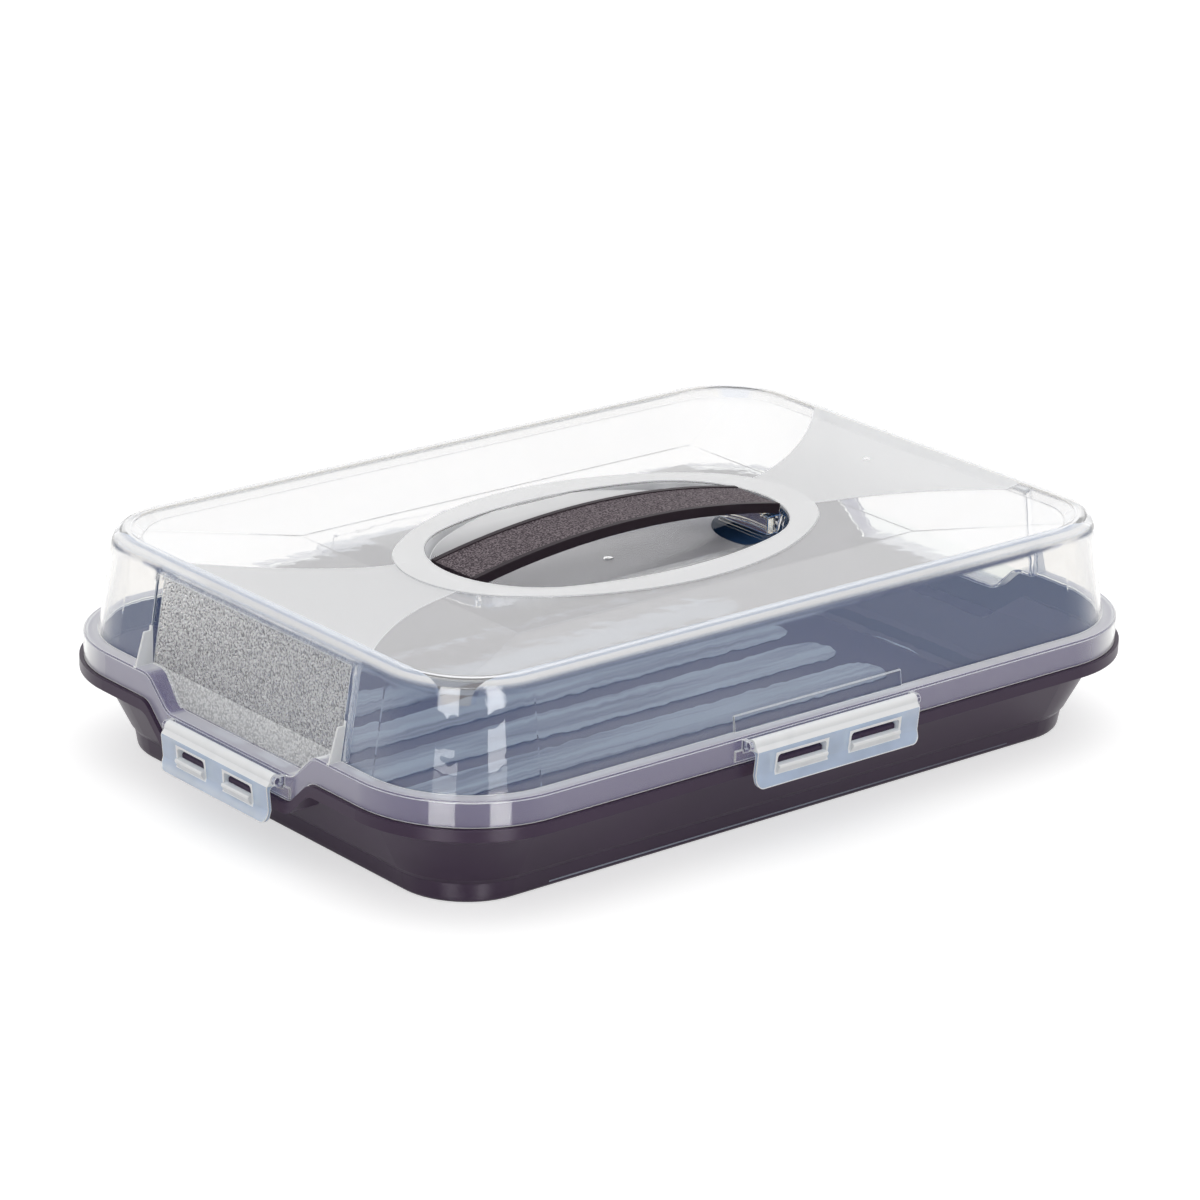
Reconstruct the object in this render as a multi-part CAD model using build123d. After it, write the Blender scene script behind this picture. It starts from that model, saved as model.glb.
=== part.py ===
"""Rectangular cake carrier: a deep tray, a clear lift-off hood, a strap handle and four hinged clips.

Millimetres. Z is up, X runs along the tray, the origin is the middle of the tray's underside.
Plan outlines are rounded rectangles drawn by their inset from the tray flange, so that every wall,
ledge and skirt follows the same corner. At both ends the rim dips between two slanting flanks.
"""
from build123d import *
import math
import os

os.makedirs("parts", exist_ok=True)

# How far an added piece sinks into the wall it stands on
EMBED = 0.5
# Straight steps that draw a rounded edge running around a whole outline
EDGE_STEPS = 3

# Plan of the tray flange, from which every other outline is inset
FLANGE_LENGTH = 450.0
FLANGE_WIDTH = 320.0
FLANGE_CORNER = 62.0

# Dip of the rim at both ends
DIP_DEPTH = 14.5
DIP_FLOOR_HALF = 48.0
DIP_TOP_HALF = 63.5
DIP_FILLET = 10.0

# Tray
TRAY_WALL = 2.0
FOOT_INSET = 27.0
FOOT_HEIGHT = 10.0
FOOT_DRAFT = 1.2
FOOT_STEP = 2.0
FOOT_STEP_RISE = 2.5
FOOT_ROUND = 3.0
FLOOR_CHAMFER = 2.5
TRAY_WALL_TOP_INSET = 13.0
TRAY_WALL_TOP_Z = 34.0
FLARE_TOP_INSET = 4.5
SHELF_Z = 43.0
SHELF_THICKNESS = 2.0
FLARE_TOP_Z = SHELF_Z - SHELF_THICKNESS / 2
LIP_WIDTH = 2.0
LIP_TOP_Z = 46.2
LIP_BOTTOM_Z = 40.6
RIM_WALL = 1.8
RIM_GAP = 0.7
FLUTE_COUNT = 6
FLUTE_PITCH = 37.0
FLUTE_WIDTH = 25.0
FLUTE_LENGTH = 330.0
FLUTE_HEIGHT = 1.0
TIP_STEPS = 6

# Hood
HOOD_WALL = 1.5
SKIRT_INSET = 2.0
SKIRT_BOTTOM_Z = 46.5
LEDGE_Z = 59.0
LEDGE_CHAMFER = 0.8
LEDGE_WIDTH = 7.0
CREST_Z = 109.0
WALL_LEAN = 7.5
CREST_ROUND = 6.0
CREST_INNER_CHAMFER = 2.6
END_RECESS = 4.0
END_RECESS_HALF = 74.0
END_RECESS_TOP_Z = 102.0
CREST_BAND = 8.0
EDGE_DROP = 3.8
EDGE_DROP_RUN = 5.0
TOP_FLAT_Z = 101.2
TOP_FLAT_LENGTH = 244.0
TOP_FLAT_WIDTH = 164.0
GUSSET_REACH = 6.0
GUSSET_TAPER = 2.4
GUSSET_HEIGHT = 16.0
GUSSET_THICKNESS = 1.2
WALL_PAD_HALF = 51.5
WALL_PAD_HEIGHT = 7.5
WALL_PAD_PROUD = 0.8

# Oval well under the handle: steep ends, gentle slopes along its sides
RING_HALF_LENGTH = 116.0
RING_HALF_WIDTH = 76.0
RING_END_RADIUS = 55.0
RING_PROUD = 0.6
WELL_HALF_LENGTH = 98.0
WELL_HALF_WIDTH = 59.5
WELL_END_RADIUS = 52.0
WELL_DEPTH = 13.3
WELL_END_RUN = 3.0
WELL_FLOOR_HALF = 24.0
WELL_LIP = 0.8
RING_TOP_Z = TOP_FLAT_Z + RING_PROUD
WELL_FLOOR_Z = RING_TOP_Z - WELL_DEPTH

# Strap handle
STRAP_HALF_LENGTH = 94.5
STRAP_WIDTH = 33.5
STRAP_END_TOP_Z = 102.4
STRAP_RISE = 9.8
STRAP_THICKNESS = 3.0
STRAP_EDGE_DEPTH = 5.0
STRAP_EDGE_WIDTH = 2.8
STRAP_PANEL_SINK = 0.5
STRAP_PLAY = 0.3
SEAT_LENGTH = 9.0
SEAT_SIDE = 1.5

# Clips and their hinges; "out" is measured outwards from the flange edge
CLIP_LONG_SIDE = 100.0
CLIP_END = 82.0
CLIP_PLATE = 1.8
CLIP_CORNER = 4.0
CLIP_BOTTOM_Z = 35.4
PLATE_OUT = 4.0
KNEE_DROP = 2.6
KNEE_OUT = 0.5
WAIST_Z = 41.8
WAIST_IN = 0.7
FOOT_OUT = 1.1
PLATE_BEND = 2.0
HINGE_OUT = 1.5
HINGE_Z = 55.7
HINGE_ROD = 1.4
HINGE_PLAY = 0.3
BARREL_WALL = 1.2
MOUTH_TURN = 50.0
MOUTH_SNAP = 0.6
EAR_WIDTH = 2.2
EAR_WALL = 0.9
EAR_CORNER = 1.3
EAR_PLAY = 0.3
PAD_SIDE = 7.0
PAD_PROUD = 0.8
PAD_TOP_Z = 53.2
PAD_BOTTOM_Z = 48.2
WINDOW_SHARE_GAP = 15.5
WINDOW_MARGIN = 12.5
WINDOW_TOP_Z = 49.8
WINDOW_CORNER = 1.8
JAMB_WALL = 1.5
JAMB_IN = 2.6
LUG_REACH = 3.6
LUG_TOP_Z = 47.4
LUG_ROOT_Z = 41.4
LUG_CHAMFER = 0.6
LUG_PLAY = 1.6
HOOK_GAP = 0.5
HOOK_TIP_OUT = 1.0
HOOK_TIP_HEIGHT = 1.2
HOOK_HEIGHT = 6.0
BUMP_OUT = 1.5
BUMP_HEIGHT = 1.4


def outline(inset, z):
    """Rounded rectangle inset from the flange outline, at height z."""
    sketch = RectangleRounded(FLANGE_LENGTH - 2 * inset, FLANGE_WIDTH - 2 * inset, FLANGE_CORNER - inset)
    return Pos(0, 0, z) * sketch


def prism(inset, bottom, top):
    return extrude(outline(inset, bottom), top - bottom)


def stack(levels):
    """Solid through rounded rectangles given as (height, inset), lowest first, joined by straight walls."""
    tiers = []
    for (z0, inset0), (z1, inset1) in zip(levels, levels[1:]):
        taper = math.degrees(math.atan2(inset1 - inset0, z1 - z0))
        tiers.append(extrude(outline(inset0, z0), z1 - z0, taper=taper))
    return sum(tiers[1:], tiers[0])


def rounded_edge(z, radius, up):
    """(height, extra inset) pairs along a rounded edge at height z, in straight steps; up is 1 for a foot."""
    turns = [math.radians(90 * step / EDGE_STEPS) for step in range(EDGE_STEPS + 1)]
    pairs = [(z + up * radius * (1 - math.cos(turn)), radius * (1 - math.sin(turn))) for turn in turns]
    return pairs[::up]


def below(z):
    """Everything under the rim line: height z, with the dip at both ends."""
    reach = FLANGE_LENGTH
    points = [(-reach, z), (-DIP_TOP_HALF, z), (-DIP_FLOOR_HALF, z - DIP_DEPTH),
              (DIP_FLOOR_HALF, z - DIP_DEPTH), (DIP_TOP_HALF, z), (reach, z),
              (reach, -reach), (-reach, -reach)]
    profile = make_face(Polyline(*points, close=True))
    bends = profile.vertices().filter_by(lambda v: abs(v.X) < DIP_TOP_HALF + EMBED)
    profile = fillet(bends, DIP_FILLET)
    return extrude(Plane.YZ.offset(-reach) * profile, 2 * reach)


def oval(half_length, half_width, end_radius, z):
    """Oval of two end arcs of the given radius and two flatter side arcs, tangent to each other."""
    reach, rise = half_length - end_radius, half_width - end_radius
    turn = math.atan2((reach ** 2 - rise ** 2) / (2 * rise), reach)
    x, y = reach + end_radius * math.cos(turn), end_radius * math.sin(turn)
    ends = [(x, -y), (x, y), (-x, y), (-x, -y), (x, -y)]
    middles = [(half_length, 0), (0, half_width), (-half_length, 0), (0, -half_width)]
    arcs = [ThreePointArc(start, middle, end) for start, middle, end in zip(ends, middles, ends[1:])]
    return Pos(0, 0, z) * make_face(arcs)


def bar(points, half_width):
    """Solid with a constant section, given as (out, height) points, centred along a side."""
    section = make_face(Polyline(*[(-out, z) for out, z in points], close=True))
    return extrude(Plane.YZ.offset(-half_width) * section, 2 * half_width)


def block(x0, x1, y0, y1, z0, z1):
    return Pos((x0 + x1) / 2, (y0 + y1) / 2, (z0 + z1) / 2) * Box(x1 - x0, y1 - y0, z1 - z0)


# The four sides: name, turn about Z, distance to the flange edge, drop of the rim, clip length
SIDES = [
    ("front", 0, FLANGE_WIDTH / 2, 0.0, CLIP_LONG_SIDE),
    ("back", 180, FLANGE_WIDTH / 2, 0.0, CLIP_LONG_SIDE),
    ("left", -90, FLANGE_LENGTH / 2, DIP_DEPTH, CLIP_END),
    ("right", 90, FLANGE_LENGTH / 2, DIP_DEPTH, CLIP_END),
]


def on_side(piece, turn, distance, drop):
    return Rot(0, 0, turn) * Pos(0, -distance, -drop) * piece


def window_length(clip_length):
    return (clip_length - 2 * WINDOW_MARGIN - WINDOW_SHARE_GAP) / 2


def window_centres(clip_length):
    shift = (window_length(clip_length) + WINDOW_SHARE_GAP) / 2
    return [-shift, shift]


# ---------------------------------------------------------------- tray

def tray_levels(offset, floor):
    """Levels of the tray's lower wall, from the floor to the flare under the shelf."""
    return [
        (floor, FOOT_INSET + offset),
        (FOOT_HEIGHT, FOOT_INSET - FOOT_DRAFT + offset),
        (FOOT_HEIGHT + FOOT_STEP_RISE, FOOT_INSET - FOOT_DRAFT - FOOT_STEP + offset),
        (TRAY_WALL_TOP_Z, TRAY_WALL_TOP_INSET + offset),
        (FLARE_TOP_Z, FLARE_TOP_INSET + offset),
    ]


def flute():
    """One long raised field of the floor with rounded tips."""
    radius = FLUTE_WIDTH / 2
    turns = [math.radians(180 * step / TIP_STEPS - 90) for step in range(TIP_STEPS + 1)]
    tip = [(FLUTE_LENGTH / 2 - radius + radius * math.cos(turn), radius * math.sin(turn)) for turn in turns]
    plan = tip + [(-x, -y) for x, y in tip]
    return extrude(make_face(Polyline(*plan, close=True)), FLUTE_HEIGHT + EMBED)


def hook_line(out):
    """Underside of the tray lugs, at forty-five degrees."""
    return LUG_ROOT_Z + out


def tray_lug(length):
    section = [(-EMBED, LUG_TOP_Z), (-EMBED, hook_line(0)), (0, hook_line(0)),
               (LUG_REACH, hook_line(LUG_REACH)), (LUG_REACH, LUG_TOP_Z - LUG_CHAMFER),
               (LUG_REACH - LUG_CHAMFER, LUG_TOP_Z)]
    return bar(section, length / 2)


def make_tray():
    rim_inset = SKIRT_INSET + HOOD_WALL + RIM_GAP
    foot = [(z, FOOT_INSET + extra) for z, extra in rounded_edge(0, FOOT_ROUND, 1)]
    outer = stack(foot + tray_levels(0, 0)[1:])
    cavity = stack(tray_levels(TRAY_WALL, TRAY_WALL))
    cavity = chamfer(cavity.faces().sort_by(Axis.Z)[0].edges(), FLOOR_CHAMFER)
    cavity += prism(FLARE_TOP_INSET + TRAY_WALL, FLARE_TOP_Z, LEDGE_Z)
    shelf_top = below(SHELF_Z)
    wall = (outer - cavity) & shelf_top
    shelf = (prism(0, 0, LEDGE_Z) - cavity) & (shelf_top - below(SHELF_Z - SHELF_THICKNESS))
    lip = (prism(0, 0, LEDGE_Z) - prism(LIP_WIDTH, 0, LEDGE_Z)) & (below(LIP_TOP_Z) - below(LIP_BOTTOM_Z))
    rim_ring = prism(rim_inset, 0, LEDGE_Z) - prism(rim_inset + RIM_WALL, 0, LEDGE_Z)
    rim = rim_ring & (below(LEDGE_Z - HOOD_WALL) - below(SHELF_Z - SHELF_THICKNESS))
    tray = wall + shelf + lip + rim
    for row in range(FLUTE_COUNT):
        y = (row - (FLUTE_COUNT - 1) / 2) * FLUTE_PITCH
        tray += Pos(0, y, TRAY_WALL - EMBED) * flute()
    for _, turn, distance, drop, length in SIDES:
        for centre in window_centres(length):
            lug = Pos(centre, 0, 0) * tray_lug(window_length(length) - LUG_PLAY)
            tray += on_side(lug, turn, distance, drop)
    return tray


# ---------------------------------------------------------------- hood

def hood_wall_inset(z):
    lean = WALL_LEAN / (CREST_Z - LEDGE_Z)
    return SKIRT_INSET + LEDGE_WIDTH + (z - LEDGE_Z) * lean


def hood_envelope(skin):
    """Outside of the hood for skin 0, its inside for skin equal to the wall thickness."""
    low = LEDGE_Z - DIP_DEPTH - 2 * HOOD_WALL
    inner = [(CREST_Z - CREST_INNER_CHAMFER, 0), (CREST_Z, CREST_INNER_CHAMFER)]
    crest = inner if skin else rounded_edge(CREST_Z, CREST_ROUND, -1)
    levels = [(low, 0)] + crest
    body = stack([(z - (skin if z > low else 0), hood_wall_inset(z) + extra + skin) for z, extra in levels])
    recessed = stack([(low, hood_wall_inset(low) + END_RECESS + skin),
                      (CREST_Z, hood_wall_inset(CREST_Z) + END_RECESS + skin)])
    reach = FLANGE_LENGTH
    half = END_RECESS_HALF + skin
    body -= block(-reach, reach, -half, half, 0, END_RECESS_TOP_Z + skin) - recessed
    return body - dish(skin)


def dish(skin):
    """Hollow of the top: a steep drop inside the crest, then four flat slopes down to the middle field."""
    crest_inset = hood_wall_inset(CREST_Z) + CREST_BAND
    floor_inset = crest_inset + EDGE_DROP_RUN * (CREST_Z - TOP_FLAT_Z) / EDGE_DROP
    floor_z = TOP_FLAT_Z - skin
    hollow = stack([(floor_z, floor_inset), (CREST_Z - skin, crest_inset)])
    # the slopes start at the foot of the drop; they're drawn past it so that they cut it cleanly
    past = (CREST_Z - TOP_FLAT_Z) / (CREST_Z - EDGE_DROP - TOP_FLAT_Z)
    run_length = FLANGE_LENGTH - 2 * (crest_inset + EDGE_DROP_RUN) - TOP_FLAT_LENGTH
    run_width = FLANGE_WIDTH - 2 * (crest_inset + EDGE_DROP_RUN) - TOP_FLAT_WIDTH
    slopes = loft([Pos(0, 0, CREST_Z - skin) * Rectangle(TOP_FLAT_LENGTH + past * run_length,
                                                         TOP_FLAT_WIDTH + past * run_width),
                   Pos(0, 0, floor_z) * Rectangle(TOP_FLAT_LENGTH, TOP_FLAT_WIDTH)], ruled=True)
    return hollow & slopes


def hinge_on_hood(length):
    """Rod between two ears, standing off the skirt, and the pad behind the clip."""
    skirt = -SKIRT_INSET
    half = length / 2 + EAR_PLAY
    rod = Pos(0, -HINGE_OUT, HINGE_Z) * Rot(0, 90, 0) * Cylinder(HINGE_ROD, 2 * half + EAR_WIDTH)
    pad = bar([(skirt - EMBED, PAD_BOTTOM_Z), (skirt - EMBED, PAD_TOP_Z), (skirt + PAD_PROUD, PAD_TOP_Z),
               (skirt + PAD_PROUD, PAD_BOTTOM_Z)], length / 2 + PAD_SIDE)
    radius = HINGE_ROD + EAR_WALL
    top, bottom, nose = HINGE_Z + radius, HINGE_Z - radius, HINGE_OUT + radius
    section = [(skirt - EMBED, bottom - radius), (skirt - EMBED, top), (nose - EAR_CORNER, top),
               (nose, top - EAR_CORNER), (nose, bottom + EAR_CORNER), (nose - EAR_CORNER, bottom)]
    ear = bar(section, EAR_WIDTH / 2)
    place = half + EAR_WIDTH / 2
    return rod + pad + Pos(place, 0, 0) * ear + Pos(-place, 0, 0) * ear


def well_space(skin, collar=0.0):
    """Hollow of the well grown by a skin; a collar continues it straight up from the ring."""
    run, depth = WELL_END_RUN, WELL_DEPTH + skin
    length, width, radius = WELL_HALF_LENGTH + skin, WELL_HALF_WIDTH + skin, WELL_END_RADIUS + skin
    floor = oval(length - run, width - run, radius - run, RING_TOP_Z - depth)
    space = extrude(floor, depth, taper=-math.degrees(math.atan2(run, depth)))
    if collar:
        space += extrude(oval(length, width, radius, RING_TOP_Z), collar)
    slope = WELL_DEPTH / (WELL_HALF_WIDTH + WELL_LIP - WELL_FLOOR_HALF)
    reach = 2 * WELL_HALF_WIDTH
    bank_z = WELL_FLOOR_Z - skin + slope * (reach - WELL_FLOOR_HALF)
    floor_z, above = WELL_FLOOR_Z - skin, 2 * CREST_Z
    boat = Polyline((-WELL_FLOOR_HALF, floor_z), (WELL_FLOOR_HALF, floor_z), (reach, bank_z),
                    (reach, above), (-reach, above), (-reach, bank_z), close=True)
    return space & extrude(Plane.YZ.offset(-RING_HALF_LENGTH) * make_face(boat), 2 * RING_HALF_LENGTH)


def make_skirt(inside):
    """Ledge around the hood and the skirt under it, both following the dip."""
    cover = prism(SKIRT_INSET, 0, CREST_Z) & below(LEDGE_Z)
    rim = cover.edges().filter_by(lambda edge: on_rim(edge.center()))
    cover = chamfer(rim, LEDGE_CHAMFER)
    cover -= prism(SKIRT_INSET + HOOD_WALL, 0, CREST_Z) & below(LEDGE_Z - HOOD_WALL)
    return cover - below(SKIRT_BOTTOM_Z) - inside


def on_rim(point):
    """Whether an edge's centre lies on the upper outline of the skirt."""
    beside = abs(point.X) > FLANGE_LENGTH / 3 or abs(point.Y) > FLANGE_WIDTH / 3
    return beside and point.Z > LEDGE_Z - DIP_DEPTH - EMBED


def wall_pad():
    """Raised field on the long walls, above the clip."""
    low, top = LEDGE_Z - EMBED, LEDGE_Z + WALL_PAD_HEIGHT
    wall_low, wall_top = -hood_wall_inset(low), -hood_wall_inset(top)
    section = [(wall_low - EMBED, low), (wall_low + WALL_PAD_PROUD, low),
               (wall_top + WALL_PAD_PROUD, top), (wall_top - EMBED, top)]
    return bar(section, WALL_PAD_HALF)


def gusset():
    """Thin upright tab in the corner between the end wall and the ledge."""
    low, top = LEDGE_Z - EMBED, LEDGE_Z + GUSSET_HEIGHT
    wall_low, wall_top = -hood_wall_inset(low), -hood_wall_inset(top)
    section = [(wall_low - EMBED, low), (wall_low + GUSSET_REACH, low),
               (wall_top + GUSSET_REACH - GUSSET_TAPER, top), (wall_top - EMBED, top)]
    return bar(section, GUSSET_THICKNESS / 2)


def make_hood():
    inside = hood_envelope(HOOD_WALL)
    shell = (hood_envelope(0) - inside) - below(LEDGE_Z - HOOD_WALL)
    ring = oval(RING_HALF_LENGTH, RING_HALF_WIDTH, RING_END_RADIUS, TOP_FLAT_Z - EMBED)
    hood = shell + make_skirt(inside) + well_space(HOOD_WALL) + extrude(ring, RING_PROUD + EMBED)
    hood -= well_space(0, EMBED)
    for turn in (0, 180):
        hood += Rot(0, 0, turn) * seat(0)
        hood -= Rot(0, 0, turn) * seat(HOOD_WALL)
        hood += on_side(wall_pad(), turn, FLANGE_WIDTH / 2, 0)
    for turn in (-90, 90):
        for hand in (-1, 1):
            tab = Pos(hand * (END_RECESS_HALF + GUSSET_THICKNESS / 2), 0, 0) * gusset()
            hood += on_side(tab, turn, FLANGE_LENGTH / 2, 0)
    for _, turn, distance, drop, length in SIDES:
        hood += on_side(hinge_on_hood(length), turn, distance, drop)
    return hood


# ---------------------------------------------------------------- strap handle

def strap_arc(z_end, z_mid):
    return ThreePointArc((-STRAP_HALF_LENGTH, z_end), (0, z_mid), (STRAP_HALF_LENGTH, z_end))


def strap_slab(top, bottom, half_width):
    """Arched slab between two heights given at its ends."""
    upper = strap_arc(top, top + STRAP_RISE)
    lower = strap_arc(bottom, bottom + STRAP_RISE)
    ends = [Line((x, bottom), (x, top)) for x in (-STRAP_HALF_LENGTH, STRAP_HALF_LENGTH)]
    face = make_face(Curve() + [upper, lower] + ends)
    return extrude(Plane.XZ.offset(-half_width) * face, 2 * half_width)


def seat(skin):
    """Hollow step at the well's right end that carries the strap, with a key that fills the strap's hollow."""
    shelf_top = STRAP_END_TOP_Z - STRAP_EDGE_DEPTH - skin
    key_top = STRAP_END_TOP_Z - STRAP_THICKNESS - STRAP_PLAY - skin
    foot = WELL_FLOOR_Z - 2 * skin
    x0, x1 = STRAP_HALF_LENGTH - SEAT_LENGTH + skin, WELL_HALF_LENGTH
    half = STRAP_WIDTH / 2 + SEAT_SIDE - skin
    key_half = STRAP_WIDTH / 2 - STRAP_EDGE_WIDTH - STRAP_PLAY - skin
    shelf = block(x0, x1, -half, half, foot - EMBED, shelf_top)
    key = block(x0, x1, -key_half, key_half, shelf_top - EMBED, key_top)
    return (shelf + key) & well_end(skin)


def well_end(skin):
    """Straight-walled oval that keeps the seats inside the end walls of the well."""
    grow = -WELL_END_RUN - skin if skin else HOOD_WALL / 2
    plan = oval(WELL_HALF_LENGTH + grow, WELL_HALF_WIDTH + grow, WELL_END_RADIUS + grow, 0)
    return extrude(plan, CREST_Z)


def make_handle():
    half = STRAP_WIDTH / 2
    inner = half - STRAP_EDGE_WIDTH
    underside = STRAP_END_TOP_Z - STRAP_EDGE_DEPTH
    body = strap_slab(STRAP_END_TOP_Z, underside, half)
    hollow = strap_slab(STRAP_END_TOP_Z - STRAP_THICKNESS, underside - EMBED, inner)
    panel = strap_slab(STRAP_END_TOP_Z + EMBED, STRAP_END_TOP_Z - STRAP_PANEL_SINK, inner)
    return (body - hollow - panel) & well_space(-STRAP_PLAY, 2 * STRAP_RISE)


# ---------------------------------------------------------------- clips

def clip_plate(length):
    """S-shaped wall of the clip, from the barrel's shoulder to its rounded foot."""
    barrel = HINGE_ROD + HINGE_PLAY + BARREL_WALL
    bends = [(PLATE_OUT + KNEE_OUT, HINGE_Z - KNEE_DROP), (PLATE_OUT - WAIST_IN, WAIST_Z),
             (PLATE_OUT + FOOT_OUT, CLIP_BOTTOM_Z)]
    outer = [(out + CLIP_PLATE, z) for out, z in bends]
    shoulder, root = (HINGE_OUT, HINGE_Z + barrel), (HINGE_OUT, HINGE_Z - barrel)
    plate = bar([shoulder] + outer + bends[::-1] + [root], length / 2)
    plate = fillet(plate.edges().filter_by(lambda edge: is_bend(edge.center())), PLATE_BEND)
    front = -2 * barrel - PLATE_OUT
    foot = block(-length, length, front, 0, CLIP_BOTTOM_Z - EMBED, CLIP_BOTTOM_Z + CLIP_CORNER)
    rounded = block(-length / 2, length / 2, front, 0, CLIP_BOTTOM_Z, HINGE_Z)
    rounded = fillet(rounded.edges().filter_by(Axis.Y).group_by(Axis.Z)[0], CLIP_CORNER)
    return plate - (foot - rounded)


def is_bend(point):
    """Whether an edge's centre is at the knee or the waist of the clip's wall."""
    between = WAIST_Z - EMBED < point.Z < HINGE_Z - EMBED
    return between and point.Y < -HINGE_OUT - EMBED and abs(point.X) < EMBED


def clip_window(clip, centre, window):
    """Cut a window at the given centre and add its frame and the hook under it."""
    outer = PLATE_OUT + CLIP_PLATE
    sill = hook_line(PLATE_OUT) - HOOK_GAP
    tip_top = hook_line(HOOK_TIP_OUT) - HOOK_GAP
    hook = bar([(HOOK_TIP_OUT, tip_top), (HOOK_TIP_OUT, tip_top - HOOK_TIP_HEIGHT),
                (PLATE_OUT, sill - HOOK_HEIGHT), (PLATE_OUT + EMBED, sill - HOOK_HEIGHT),
                (outer + BUMP_OUT, sill - BUMP_HEIGHT), (outer + BUMP_OUT, sill - EMBED),
                (outer + BUMP_OUT - EMBED, sill), (PLATE_OUT, sill)], window / 2)
    opening = Pos(0, 0, (sill + WINDOW_TOP_Z) / 2) * Box(window, 4 * outer, WINDOW_TOP_Z - sill)
    corners = opening.edges().filter_by(Axis.Y).group_by(Axis.Z)[-1]
    opening = fillet(corners, WINDOW_CORNER)
    frame = block(-window / 2 - JAMB_WALL, window / 2 + JAMB_WALL, -PLATE_OUT - EMBED, -PLATE_OUT + JAMB_IN,
                  sill - HOOK_HEIGHT / 2, WINDOW_TOP_Z + JAMB_WALL)
    frame -= block(-window / 2, window / 2, -2 * outer, 0, sill - HOOK_HEIGHT, sill)
    return (clip + Pos(centre, 0, 0) * frame - Pos(centre, 0, 0) * opening) + Pos(centre, 0, 0) * hook


def make_clip(length):
    """Clip for the front side: C-shaped barrel, bent plate, two windows with a hook under each."""
    bore = HINGE_ROD + HINGE_PLAY
    barrel = bore + BARREL_WALL
    axis = Pos(0, -HINGE_OUT, HINGE_Z) * Rot(0, 90, 0)
    clip = clip_plate(length) + axis * Cylinder(barrel, length)
    for centre in window_centres(length):
        clip = clip_window(clip, centre, window_length(length))
    clip -= axis * Cylinder(bore, length + 2 * EMBED)
    mouth = 2 * HINGE_ROD - MOUTH_SNAP
    slot = Rot(-MOUTH_TURN, 0, 0) * Pos(0, barrel, 0) * Box(length + 2 * EMBED, 2 * barrel, mouth)
    return clip - Pos(0, -HINGE_OUT, HINGE_Z) * slot


tray = make_tray()
hood = make_hood()
handle = make_handle()
pieces = {"base_tray": tray, "hood": hood, "carry_handle": handle}
for name, turn, distance, drop, length in SIDES:
    pieces["clip_" + name] = on_side(make_clip(length), turn, distance, drop)

for name, piece in pieces.items():
    export_step(piece, f"parts/{name}.step")
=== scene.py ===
"""Looks of the cake carrier: aubergine tray, clear moulded hood, strap handle and four clips.

Metres throughout, in the frame of the CAD model. The hood, tray, handle and clips are the CAD solids
with their plastics; the moulding marks and the edges of the frosted fields are made here.
"""

import math
from types import SimpleNamespace

import bmesh
import bpy
from mathutils import Matrix, Vector


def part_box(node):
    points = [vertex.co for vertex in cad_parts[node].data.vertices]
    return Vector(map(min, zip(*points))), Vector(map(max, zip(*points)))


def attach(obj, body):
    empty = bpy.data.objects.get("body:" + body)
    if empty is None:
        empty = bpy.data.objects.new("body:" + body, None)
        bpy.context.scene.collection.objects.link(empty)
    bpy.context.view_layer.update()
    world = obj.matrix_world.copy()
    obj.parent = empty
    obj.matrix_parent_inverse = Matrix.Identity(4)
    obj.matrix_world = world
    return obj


bl_info = {
    "name": "Cake carrier",
    "version": (1, 0, 0),
    "blender": (4, 5, 0),
    "location": "View3D > Sidebar > Cake carrier",
    "description": "Plastics, moulding marks, floor, light and camera of a cake carrier",
    "category": "Object",
}

MM = 0.001

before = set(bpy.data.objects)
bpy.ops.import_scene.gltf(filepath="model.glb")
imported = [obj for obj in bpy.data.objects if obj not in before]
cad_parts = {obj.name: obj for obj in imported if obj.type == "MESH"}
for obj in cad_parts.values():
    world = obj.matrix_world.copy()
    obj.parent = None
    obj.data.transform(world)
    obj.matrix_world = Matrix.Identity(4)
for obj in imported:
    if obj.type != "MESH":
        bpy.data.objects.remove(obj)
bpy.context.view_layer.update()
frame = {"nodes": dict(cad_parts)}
_, HOOD_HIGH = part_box("hood")
STRAP_LOW, STRAP_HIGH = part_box("carry_handle")

PLASTIC_IOR = 1.49
MILK_THROUGH = 0.15                           # share of the scattered light that goes on through a wall
ROUND_SAMPLES = 4                             # of a bevel that rounds edges
EDGE_SAMPLES = 8                              # of a bevel that finds edges
EDGE_COSINES = (0.992, 0.95)                  # rounded against true normal: still flat, and fully an edge

# Waves that the flow leaves in a moulded face, as their size, and for the hood also their depth
HOOD_WAVES = ((71.43 * MM, 0.12 * MM), (9.09 * MM, 0.045 * MM))
CLIP_WAVES = 16.67 * MM
TRAY_WAVES = 45.45 * MM
FLOOR_MOTTLE = 333.33 * MM                    # size of the uneven places in the floor's paint

# Where rays that look for the hood's top and for the well's floor start
OVER_HOOD = HOOD_HIGH.z + 20 * MM
UNDER_STRAP = STRAP_LOW.z + 1 * MM

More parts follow.
